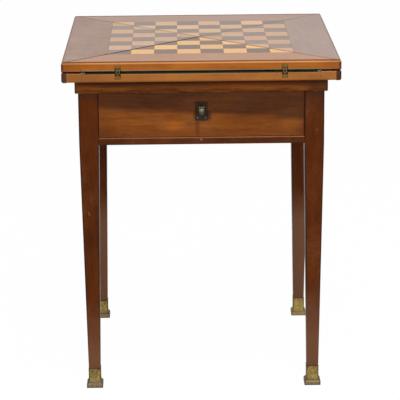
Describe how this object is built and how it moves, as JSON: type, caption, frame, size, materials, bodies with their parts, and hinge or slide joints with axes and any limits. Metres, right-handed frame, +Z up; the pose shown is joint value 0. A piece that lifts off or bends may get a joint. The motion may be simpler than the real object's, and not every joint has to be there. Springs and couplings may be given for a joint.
{
  "type": "games table",
  "caption": "Square envelope games table: triangular leaves with an inlaid chessboard fold over a baize bed that swivels on a drawer frame with tapered legs.",
  "frame": {"origin": "floor point under the centre of the square top", "axes": "+Z up, -Y out of the drawer front, +X to the right seen from the front"},
  "size_m": [0.59, 0.59, 0.74],
  "materials": {
    "mahogany": "french polished, dark red-brown, faded at the feet",
    "pale_mahogany": "french polished, sun-faded orange-brown",
    "baize": "woven wool baize, worn at the edges",
    "chess_veneer": "pale and dark veneer squares, polished",
    "hinge_brass": "aged brass with green in the corners",
    "sabot_brass": "cast, patinated",
    "pull_brass": "worn bright",
    "dark_bronze": "dark bronzed plate",
    "pivot_iron": "dull iron",
    "drawer_oak": "planed oak, unpolished",
    "drawer_pine": "planed pine, unpolished"
  },
  "bodies": {
    "frame": {"leg_front_left": "mahogany", "leg_front_right": "mahogany", "leg_back_left": "mahogany", "leg_back_right": "mahogany", "sabot_front_left": "sabot_brass", "sabot_front_right": "sabot_brass", "sabot_back_left": "sabot_brass", "sabot_back_right": "sabot_brass", "apron_left": "mahogany", "apron_right": "mahogany", "apron_back": "mahogany", "drawer_rail": "mahogany", "top_frame": "mahogany"},
    "bed": {"bed_board": "mahogany", "bed_lipping": "pale_mahogany", "bed_baize": "baize", "pivot_pin": "pivot_iron", "front_bed_arm_left": "hinge_brass", "front_bed_arm_right": "hinge_brass", "right_bed_arm_left": "hinge_brass", "right_bed_arm_right": "hinge_brass", "back_bed_arm_left": "hinge_brass", "back_bed_arm_right": "hinge_brass", "left_bed_arm_left": "hinge_brass", "left_bed_arm_right": "hinge_brass"},
    "drawer": {"drawer_front": "mahogany", "drawer_side_left": "drawer_oak", "drawer_side_right": "drawer_oak", "drawer_back": "drawer_oak", "drawer_bottom": "drawer_pine", "pull_plate": "dark_bronze"},
    "pull": {"drop_pull": "pull_brass"},
    "front_links": {"front_link_left": "hinge_brass", "front_link_right": "hinge_brass"},
    "front_leaf_body": {"front_leaf": "pale_mahogany", "front_leaf_baize": "baize", "front_leaf_chessboard": "chess_veneer", "front_leaf_arm_left": "hinge_brass", "front_leaf_arm_right": "hinge_brass"},
    "right_links": {"right_link_left": "hinge_brass", "right_link_right": "hinge_brass"},
    "right_leaf_body": {"right_leaf": "pale_mahogany", "right_leaf_baize": "baize", "right_leaf_chessboard": "chess_veneer", "right_leaf_arm_left": "hinge_brass", "right_leaf_arm_right": "hinge_brass"},
    "back_links": {"back_link_left": "hinge_brass", "back_link_right": "hinge_brass"},
    "back_leaf_body": {"back_leaf": "pale_mahogany", "back_leaf_baize": "baize", "back_leaf_chessboard": "chess_veneer", "back_leaf_arm_left": "hinge_brass", "back_leaf_arm_right": "hinge_brass"},
    "left_links": {"left_link_left": "hinge_brass", "left_link_right": "hinge_brass"},
    "left_leaf_body": {"left_leaf": "pale_mahogany", "left_leaf_baize": "baize", "left_leaf_chessboard": "chess_veneer", "left_leaf_arm_left": "hinge_brass", "left_leaf_arm_right": "hinge_brass"}
  },
  "joints": [
    {"name": "top_turn", "type": "hinge", "parent": "frame", "child": "bed", "pos_m": [0, 0, 0.6965], "axis": [0, 0, 1], "range_deg": [0, 45]},
    {"name": "drawer_slide", "type": "slide", "parent": "frame", "child": "drawer", "axis": [0, -1, 0], "range_m": [0, 0.36]},
    {"name": "pull_swing", "type": "hinge", "parent": "drawer", "child": "pull", "pos_m": [0, -0.2694, 0.636], "axis": [-1, 0, 0], "range_deg": [0, 75]},
    {"name": "front_link_turn", "type": "hinge", "parent": "bed", "child": "front_links", "pos_m": [0, -0.2919, 0.7149], "axis": [1, 0, 0], "range_deg": [0, 90]},
    {"name": "front_leaf_turn", "type": "hinge", "parent": "front_links", "child": "front_leaf_body", "pos_m": [0, -0.2919, 0.7221], "axis": [1, 0, 0], "range_deg": [0, 90]},
    {"name": "right_link_turn", "type": "hinge", "parent": "bed", "child": "right_links", "pos_m": [0.2919, 0, 0.7149], "axis": [0, 1, 0], "range_deg": [0, 90]},
    {"name": "right_leaf_turn", "type": "hinge", "parent": "right_links", "child": "right_leaf_body", "pos_m": [0.2919, 0, 0.7221], "axis": [0, 1, 0], "range_deg": [0, 90]},
    {"name": "back_link_turn", "type": "hinge", "parent": "bed", "child": "back_links", "pos_m": [0, 0.2919, 0.7149], "axis": [-1, 0, 0], "range_deg": [0, 90]},
    {"name": "back_leaf_turn", "type": "hinge", "parent": "back_links", "child": "back_leaf_body", "pos_m": [0, 0.2919, 0.7221], "axis": [-1, 0, 0], "range_deg": [0, 90]},
    {"name": "left_link_turn", "type": "hinge", "parent": "bed", "child": "left_links", "pos_m": [-0.2919, 0, 0.7149], "axis": [0, -1, 0], "range_deg": [0, 90]},
    {"name": "left_leaf_turn", "type": "hinge", "parent": "left_links", "child": "left_leaf_body", "pos_m": [-0.2919, 0, 0.7221], "axis": [0, -1, 0], "range_deg": [0, 90]}
  ],
  "couplings": [
    {"joint": "front_leaf_turn", "follows": "front_link_turn", "ratio": 1},
    {"joint": "right_leaf_turn", "follows": "right_link_turn", "ratio": 1},
    {"joint": "back_leaf_turn", "follows": "back_link_turn", "ratio": 1},
    {"joint": "left_leaf_turn", "follows": "left_link_turn", "ratio": 1}
  ]
}
